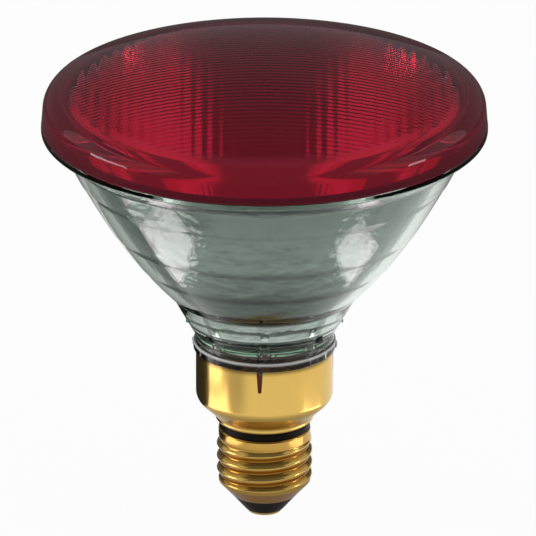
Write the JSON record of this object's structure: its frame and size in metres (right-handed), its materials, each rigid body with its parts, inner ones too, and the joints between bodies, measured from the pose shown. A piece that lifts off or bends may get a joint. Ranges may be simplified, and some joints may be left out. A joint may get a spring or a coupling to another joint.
{
  "type": "infrared heat lamp bulb",
  "caption": "Reflector heat lamp bulb: domed ruby glass lens, mirrored pressed glass bowl and a skirted brass screw cap.",
  "frame": {"origin": "tip of the centre contact, on the bulb's axis", "axes": "+Z along the bulb's axis, from the screw cap towards the lens; +X along the filament"},
  "size_m": [0.1208, 0.1208, 0.1348],
  "materials": {
    "ruby_glass": "fire-polished ruby glass",
    "clear_glass": "fire-polished hard glass",
    "mirror_film": "vacuum-coated metal film",
    "black_glass": "glossy, opaque",
    "brass": "bright, drawn sheet",
    "solder": "dull",
    "nickel_iron": "satin",
    "tungsten": "dark satin",
    "glass_fibre": "woven"
  },
  "bodies": {
    "root": {"centre_solder": "solder", "contact_plate": "brass", "base_insulator": "black_glass", "screw_shell": "brass", "skirt_insulator": "black_glass", "skirt": "brass", "reflector_bowl": "clear_glass", "lens": "ruby_glass", "ferrule_left": "nickel_iron", "ferrule_right": "nickel_iron", "lead_post_left": "nickel_iron", "lead_post_right": "nickel_iron", "post_bridge": "clear_glass", "coil_support": "tungsten", "filament": "tungsten", "exhaust_tube": "clear_glass", "centre_wire": "nickel_iron", "side_wire": "nickel_iron", "side_solder": "solder", "wire_sleeve": "glass_fibre"}
  },
  "joints": []
}
